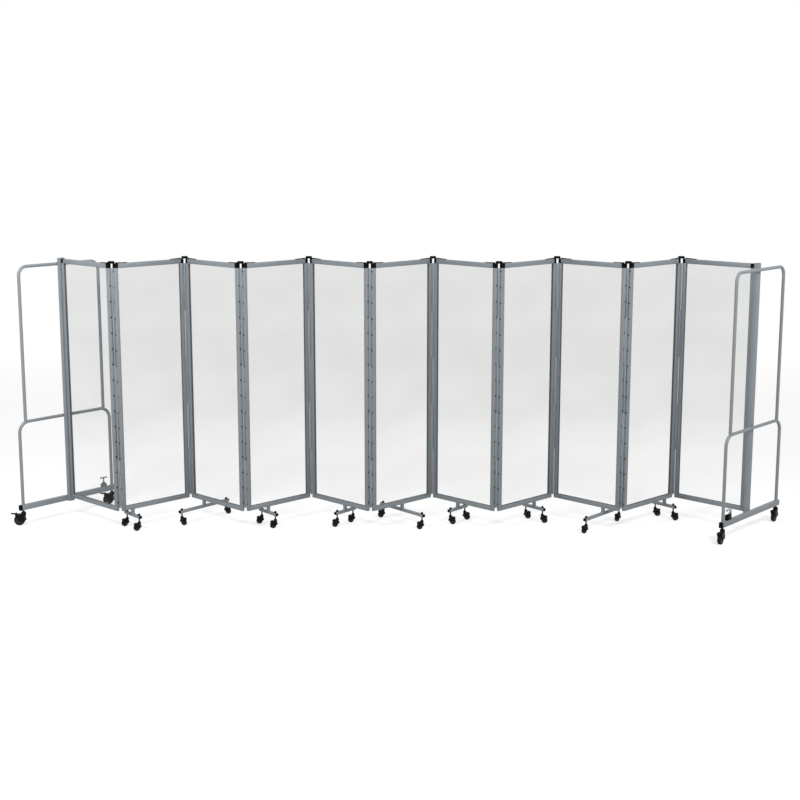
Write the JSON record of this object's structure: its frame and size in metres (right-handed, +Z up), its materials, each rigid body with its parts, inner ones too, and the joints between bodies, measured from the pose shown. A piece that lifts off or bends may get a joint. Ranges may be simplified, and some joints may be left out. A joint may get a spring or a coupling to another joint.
{
  "type": "rolling partition",
  "caption": "Free-standing folding partition: clear sheets in slim metal frames, joined by full-length hinges, on swivel casters, with looped end frames.",
  "frame": {"origin": "on the floor under the middle of the whole partition's bounds at rest", "axes": "+X along the partition to the viewer's right, +Y away from the viewer, +Z up"},
  "size_m": [5.3652, 1.0878, 1.844],
  "materials": {
    "frame_paint": "satin powder coat",
    "clear_sheet": "clear acrylic",
    "black_plastic": "moulded",
    "caster_plastic": "moulded",
    "caster_tread": "hard rubber",
    "bright_steel": "zinc plated",
    "dark_steel": "black fixings"
  },
  "bodies": {
    "section_01": {"section_01": "frame_paint"},
    "end_caster_left_near_brake_pedal": {"end_caster_left_near_brake_pedal": "black_plastic"},
    "end_caster_left_near_fork": {"end_caster_left_near_fork": "caster_plastic"},
    "end_caster_left_near_wheel": {"end_caster_left_near_wheel": "caster_tread"},
    "end_caster_left_far_brake_pedal": {"end_caster_left_far_brake_pedal": "black_plastic"},
    "end_caster_left_far_fork": {"end_caster_left_far_fork": "caster_plastic"},
    "end_caster_left_far_wheel": {"end_caster_left_far_wheel": "caster_tread"},
    "section_02": {"section_02": "frame_paint"},
    "caster_02_near_fork": {"caster_02_near_fork": "caster_plastic"},
    "caster_02_near_wheel": {"caster_02_near_wheel": "caster_tread"},
    "caster_02_far_fork": {"caster_02_far_fork": "caster_plastic"},
    "caster_02_far_wheel": {"caster_02_far_wheel": "caster_tread"},
    "section_03": {"section_03": "frame_paint"},
    "caster_03_near_fork": {"caster_03_near_fork": "caster_plastic"},
    "caster_03_near_wheel": {"caster_03_near_wheel": "caster_tread"},
    "caster_03_far_fork": {"caster_03_far_fork": "caster_plastic"},
    "caster_03_far_wheel": {"caster_03_far_wheel": "caster_tread"},
    "section_04": {"section_04": "frame_paint"},
    "caster_04_near_fork": {"caster_04_near_fork": "caster_plastic"},
    "caster_04_near_wheel": {"caster_04_near_wheel": "caster_tread"},
    "caster_04_far_fork": {"caster_04_far_fork": "caster_plastic"},
    "caster_04_far_wheel": {"caster_04_far_wheel": "caster_tread"},
    "section_05": {"section_05": "frame_paint"},
    "caster_05_near_fork": {"caster_05_near_fork": "caster_plastic"},
    "caster_05_near_wheel": {"caster_05_near_wheel": "caster_tread"},
    "caster_05_far_fork": {"caster_05_far_fork": "caster_plastic"},
    "caster_05_far_wheel": {"caster_05_far_wheel": "caster_tread"},
    "section_06": {"section_06": "frame_paint"},
    "caster_06_near_fork": {"caster_06_near_fork": "caster_plastic"},
    "caster_06_near_wheel": {"caster_06_near_wheel": "caster_tread"},
    "caster_06_far_fork": {"caster_06_far_fork": "caster_plastic"},
    "caster_06_far_wheel": {"caster_06_far_wheel": "caster_tread"},
    "section_07": {"section_07": "frame_paint"},
    "caster_07_near_fork": {"caster_07_near_fork": "caster_plastic"},
    "caster_07_near_wheel": {"caster_07_near_wheel": "caster_tread"},
    "caster_07_far_fork": {"caster_07_far_fork": "caster_plastic"},
    "caster_07_far_wheel": {"caster_07_far_wheel": "caster_tread"},
    "section_08": {"section_08": "frame_paint"},
    "caster_08_near_fork": {"caster_08_near_fork": "caster_plastic"},
    "caster_08_near_wheel": {"caster_08_near_wheel": "caster_tread"},
    "caster_08_far_fork": {"caster_08_far_fork": "caster_plastic"},
    "caster_08_far_wheel": {"caster_08_far_wheel": "caster_tread"},
    "section_09": {"section_09": "frame_paint"},
    "caster_09_near_fork": {"caster_09_near_fork": "caster_plastic"},
    "caster_09_near_wheel": {"caster_09_near_wheel": "caster_tread"},
    "caster_09_far_fork": {"caster_09_far_fork": "caster_plastic"},
    "caster_09_far_wheel": {"caster_09_far_wheel": "caster_tread"},
    "section_10": {"section_10": "frame_paint"},
    "caster_10_near_fork": {"caster_10_near_fork": "caster_plastic"},
    "caster_10_near_wheel": {"caster_10_near_wheel": "caster_tread"},
    "caster_10_far_fork": {"caster_10_far_fork": "caster_plastic"},
    "caster_10_far_wheel": {"caster_10_far_wheel": "caster_tread"},
    "section_11": {"section_11": "frame_paint"},
    "end_caster_right_near_brake_pedal": {"end_caster_right_near_brake_pedal": "black_plastic"},
    "end_caster_right_near_fork": {"end_caster_right_near_fork": "caster_plastic"},
    "end_caster_right_near_wheel": {"end_caster_right_near_wheel": "caster_tread"},
    "end_caster_right_far_brake_pedal": {"end_caster_right_far_brake_pedal": "black_plastic"},
    "end_caster_right_far_fork": {"end_caster_right_far_fork": "caster_plastic"},
    "end_caster_right_far_wheel": {"end_caster_right_far_wheel": "caster_tread"}
  },
  "joints": [
    {"name": "hinge_01", "type": "hinge", "parent": "section_02", "child": "section_01", "pos_m": [-1.89087, -0.1528, 0.9], "axis": [0, 0, -1], "range_deg": [-85, 90]},
    {"name": "hinge_02", "type": "hinge", "parent": "section_03", "child": "section_02", "pos_m": [-1.46334, 0.20777, 0.9], "axis": [0, 0, 1], "range_deg": [-85, 90]},
    {"name": "hinge_03", "type": "hinge", "parent": "section_04", "child": "section_03", "pos_m": [-1.03581, -0.1528, 0.9], "axis": [0, 0, -1], "range_deg": [-85, 90]},
    {"name": "hinge_04", "type": "hinge", "parent": "section_05", "child": "section_04", "pos_m": [-0.60828, 0.20777, 0.9], "axis": [0, 0, 1], "range_deg": [-85, 90]},
    {"name": "hinge_05", "type": "hinge", "parent": "section_06", "child": "section_05", "pos_m": [-0.18075, -0.1528, 0.9], "axis": [0, 0, -1], "range_deg": [-85, 90]},
    {"name": "hinge_06", "type": "hinge", "parent": "section_06", "child": "section_07", "pos_m": [0.24677, 0.20777, 0.9], "axis": [0, 0, -1], "range_deg": [-85, 90]},
    {"name": "hinge_07", "type": "hinge", "parent": "section_07", "child": "section_08", "pos_m": [0.6743, -0.1528, 0.9], "axis": [0, 0, 1], "range_deg": [-85, 90]},
    {"name": "hinge_08", "type": "hinge", "parent": "section_08", "child": "section_09", "pos_m": [1.10183, 0.20777, 0.9], "axis": [0, 0, -1], "range_deg": [-85, 90]},
    {"name": "hinge_09", "type": "hinge", "parent": "section_09", "child": "section_10", "pos_m": [1.52936, -0.1528, 0.9], "axis": [0, 0, 1], "range_deg": [-85, 90]},
    {"name": "hinge_10", "type": "hinge", "parent": "section_10", "child": "section_11", "pos_m": [1.95689, 0.20777, 0.9], "axis": [0, 0, -1], "range_deg": [-85, 90]},
    {"name": "brake_end_caster_left_near", "type": "hinge", "parent": "end_caster_left_near_fork", "child": "end_caster_left_near_brake_pedal", "pos_m": [-2.64057, -0.03243, 0.08126], "axis": [0, -1, 0], "range_deg": [0, 18]},
    {"name": "brake_end_caster_left_far", "type": "hinge", "parent": "end_caster_left_far_fork", "child": "end_caster_left_far_brake_pedal", "pos_m": [-2.14063, 0.51316, 0.08126], "axis": [0, -1, 0], "range_deg": [0, 18]},
    {"name": "brake_end_caster_right_near", "type": "hinge", "parent": "end_caster_right_near_fork", "child": "end_caster_right_near_brake_pedal", "pos_m": [2.12378, -0.50318, 0.08126], "axis": [0.8387, -0.5446, 0], "range_deg": [0, 18]},
    {"name": "brake_end_caster_right_far", "type": "hinge", "parent": "end_caster_right_far_fork", "child": "end_caster_right_far_brake_pedal", "pos_m": [2.62372, 0.0424, 0.08126], "axis": [0.8387, -0.5446, 0], "range_deg": [0, 18]},
    {"name": "swivel_end_caster_left_near", "type": "hinge", "parent": "section_01", "child": "end_caster_left_near_fork", "pos_m": [-2.58692, -0.03243, 0.06], "axis": [0, 0, 1], "continuous": true},
    {"name": "swivel_end_caster_left_far", "type": "hinge", "parent": "section_01", "child": "end_caster_left_far_fork", "pos_m": [-2.08698, 0.51316, 0.06], "axis": [0, 0, 1], "continuous": true},
    {"name": "swivel_caster_02_near", "type": "hinge", "parent": "section_02", "child": "caster_02_near_fork", "pos_m": [-1.76365, -0.15694, 0.06], "axis": [0, 0, 1], "continuous": true},
    {"name": "swivel_caster_02_far", "type": "hinge", "parent": "section_02", "child": "caster_02_far_fork", "pos_m": [-1.86837, -0.04266, 0.06], "axis": [0, 0, 1], "continuous": true},
    {"name": "swivel_caster_03_near", "type": "hinge", "parent": "section_03", "child": "caster_03_near_fork", "pos_m": [-1.49249, -0.0212, 0.06], "axis": [0, 0, 1], "continuous": true},
    {"name": "swivel_caster_03_far", "type": "hinge", "parent": "section_03", "child": "caster_03_far_fork", "pos_m": [-1.22225, 0.27371, 0.06], "axis": [0, 0, 1], "continuous": true},
    {"name": "swivel_caster_04_near", "type": "hinge", "parent": "section_04", "child": "caster_04_near_fork", "pos_m": [-0.83811, -0.09235, 0.06], "axis": [0, 0, 1], "continuous": true},
    {"name": "swivel_caster_04_far", "type": "hinge", "parent": "section_04", "child": "caster_04_far_fork", "pos_m": [-0.94283, 0.02193, 0.06], "axis": [0, 0, 1], "continuous": true},
    {"name": "swivel_caster_05_near", "type": "hinge", "parent": "section_05", "child": "caster_05_near_fork", "pos_m": [-0.4137, -0.06006, 0.06], "axis": [0, 0, 1], "continuous": true},
    {"name": "swivel_caster_05_far", "type": "hinge", "parent": "section_05", "child": "caster_05_far_fork", "pos_m": [-0.30898, 0.05422, 0.06], "axis": [0, 0, 1], "continuous": true},
    {"name": "swivel_caster_06_near", "type": "hinge", "parent": "section_06", "child": "caster_06_near_fork", "pos_m": [0.17019, -0.11808, 0.06], "axis": [0, 0, 1], "continuous": true},
    {"name": "swivel_caster_06_far", "type": "hinge", "parent": "section_06", "child": "caster_06_far_fork", "pos_m": [-0.10004, 0.17683, 0.06], "axis": [0, 0, 1], "continuous": true},
    {"name": "swivel_caster_07_near", "type": "hinge", "parent": "section_07", "child": "caster_07_near_fork", "pos_m": [0.37087, 0.00453, 0.06], "axis": [0, 0, 1], "continuous": true},
    {"name": "swivel_caster_07_far", "type": "hinge", "parent": "section_07", "child": "caster_07_far_fork", "pos_m": [0.47559, 0.11881, 0.06], "axis": [0, 0, 1], "continuous": true},
    {"name": "swivel_caster_08_near", "type": "hinge", "parent": "section_08", "child": "caster_08_near_fork", "pos_m": [1.01297, 0.03682, 0.06], "axis": [0, 0, 1], "continuous": true},
    {"name": "swivel_caster_08_far", "type": "hinge", "parent": "section_08", "child": "caster_08_far_fork", "pos_m": [0.90826, 0.1511, 0.06], "axis": [0, 0, 1], "continuous": true},
    {"name": "swivel_caster_09_near", "type": "hinge", "parent": "section_09", "child": "caster_09_near_fork", "pos_m": [1.28414, -0.21496, 0.06], "axis": [0, 0, 1], "continuous": true},
    {"name": "swivel_caster_09_far", "type": "hinge", "parent": "section_09", "child": "caster_09_far_fork", "pos_m": [1.55438, 0.07995, 0.06], "axis": [0, 0, 1], "continuous": true},
    {"name": "swivel_caster_10_near", "type": "hinge", "parent": "section_10", "child": "caster_10_near_fork", "pos_m": [1.93852, 0.10141, 0.06], "axis": [0, 0, 1], "continuous": true},
    {"name": "swivel_caster_10_far", "type": "hinge", "parent": "section_10", "child": "caster_10_far_fork", "pos_m": [1.8338, 0.21569, 0.06], "axis": [0, 0, 1], "continuous": true},
    {"name": "swivel_end_caster_right_near", "type": "hinge", "parent": "section_11", "child": "end_caster_right_near_fork", "pos_m": [2.153, -0.45819, 0.06], "axis": [0, 0, 1], "continuous": true},
    {"name": "swivel_end_caster_right_far", "type": "hinge", "parent": "section_11", "child": "end_caster_right_far_fork", "pos_m": [2.65294, 0.0874, 0.06], "axis": [0, 0, 1], "continuous": true},
    {"name": "spin_end_caster_left_near", "type": "hinge", "parent": "end_caster_left_near_fork", "child": "end_caster_left_near_wheel", "pos_m": [-2.61692, -0.03243, 0.03678], "axis": [0, -1, 0], "continuous": true},
    {"name": "spin_end_caster_left_far", "type": "hinge", "parent": "end_caster_left_far_fork", "child": "end_caster_left_far_wheel", "pos_m": [-2.11698, 0.51316, 0.03678], "axis": [0, -1, 0], "continuous": true},
    {"name": "spin_caster_02_near", "type": "hinge", "parent": "caster_02_near_fork", "child": "caster_02_near_wheel", "pos_m": [-1.7784, -0.17045, 0.02378], "axis": [0.6756, -0.7373, 0], "continuous": true},
    {"name": "spin_caster_02_far", "type": "hinge", "parent": "caster_02_far_fork", "child": "caster_02_far_wheel", "pos_m": [-1.88311, -0.05617, 0.02378], "axis": [0.6756, -0.7373, 0], "continuous": true},
    {"name": "spin_caster_03_near", "type": "hinge", "parent": "caster_03_near_fork", "child": "caster_03_near_wheel", "pos_m": [-1.47774, -0.03471, 0.02378], "axis": [0.6756, 0.7373, 0], "continuous": true},
    {"name": "spin_caster_03_far", "type": "hinge", "parent": "caster_03_far_fork", "child": "caster_03_far_wheel", "pos_m": [-1.2075, 0.2602, 0.02378], "axis": [0.6756, 0.7373, 0], "continuous": true},
    {"name": "spin_caster_04_near", "type": "hinge", "parent": "caster_04_near_fork", "child": "caster_04_near_wheel", "pos_m": [-0.85286, -0.10586, 0.02378], "axis": [0.6756, -0.7373, 0], "continuous": true},
    {"name": "spin_caster_04_far", "type": "hinge", "parent": "caster_04_far_fork", "child": "caster_04_far_wheel", "pos_m": [-0.95757, 0.00842, 0.02378], "axis": [0.6756, -0.7373, 0], "continuous": true},
    {"name": "spin_caster_05_near", "type": "hinge", "parent": "caster_05_near_fork", "child": "caster_05_near_wheel", "pos_m": [-0.42721, -0.0748, 0.02378], "axis": [0.7373, -0.6756, 0], "continuous": true},
    {"name": "spin_caster_05_far", "type": "hinge", "parent": "caster_05_far_fork", "child": "caster_05_far_wheel", "pos_m": [-0.3225, 0.03948, 0.02378], "axis": [0.7373, -0.6756, 0], "continuous": true},
    {"name": "spin_caster_06_near", "type": "hinge", "parent": "caster_06_near_fork", "child": "caster_06_near_wheel", "pos_m": [0.15545, -0.13159, 0.02378], "axis": [0.6756, -0.7373, 0], "continuous": true},
    {"name": "spin_caster_06_far", "type": "hinge", "parent": "caster_06_far_fork", "child": "caster_06_far_wheel", "pos_m": [-0.11479, 0.16332, 0.02378], "axis": [0.6756, -0.7373, 0], "continuous": true},
    {"name": "spin_caster_07_near", "type": "hinge", "parent": "caster_07_near_fork", "child": "caster_07_near_wheel", "pos_m": [0.38562, -0.00898, 0.02378], "axis": [0.6756, 0.7373, 0], "continuous": true},
    {"name": "spin_caster_07_far", "type": "hinge", "parent": "caster_07_far_fork", "child": "caster_07_far_wheel", "pos_m": [0.49034, 0.1053, 0.02378], "axis": [0.6756, 0.7373, 0], "continuous": true},
    {"name": "spin_caster_08_near", "type": "hinge", "parent": "caster_08_near_fork", "child": "caster_08_near_wheel", "pos_m": [1.02649, 0.02208, 0.02378], "axis": [0.7373, 0.6756, 0], "continuous": true},
    {"name": "spin_caster_08_far", "type": "hinge", "parent": "caster_08_far_fork", "child": "caster_08_far_wheel", "pos_m": [0.92177, 0.13636, 0.02378], "axis": [0.7373, 0.6756, 0], "continuous": true},
    {"name": "spin_caster_09_near", "type": "hinge", "parent": "caster_09_near_fork", "child": "caster_09_near_wheel", "pos_m": [1.27063, -0.22971, 0.02378], "axis": [0.7373, -0.6756, 0], "continuous": true},
    {"name": "spin_caster_09_far", "type": "hinge", "parent": "caster_09_far_fork", "child": "caster_09_far_wheel", "pos_m": [1.54086, 0.0652, 0.02378], "axis": [0.7373, -0.6756, 0], "continuous": true},
    {"name": "spin_caster_10_near", "type": "hinge", "parent": "caster_10_near_fork", "child": "caster_10_near_wheel", "pos_m": [1.95203, 0.08666, 0.02378], "axis": [0.7373, 0.6756, 0], "continuous": true},
    {"name": "spin_caster_10_far", "type": "hinge", "parent": "caster_10_far_fork", "child": "caster_10_far_wheel", "pos_m": [1.84731, 0.20094, 0.02378], "axis": [0.7373, 0.6756, 0], "continuous": true},
    {"name": "spin_end_caster_right_near", "type": "hinge", "parent": "end_caster_right_near_fork", "child": "end_caster_right_near_wheel", "pos_m": [2.13666, -0.48335, 0.03678], "axis": [0.8387, -0.5446, 0], "continuous": true},
    {"name": "spin_end_caster_right_far", "type": "hinge", "parent": "end_caster_right_far_fork", "child": "end_caster_right_far_wheel", "pos_m": [2.6366, 0.06224, 0.03678], "axis": [0.8387, -0.5446, 0], "continuous": true}
  ],
  "couplings": [
    {"joint": "hinge_01", "follows": "hinge_02", "ratio": 1},
    {"joint": "hinge_10", "follows": "hinge_09", "ratio": 1}
  ]
}
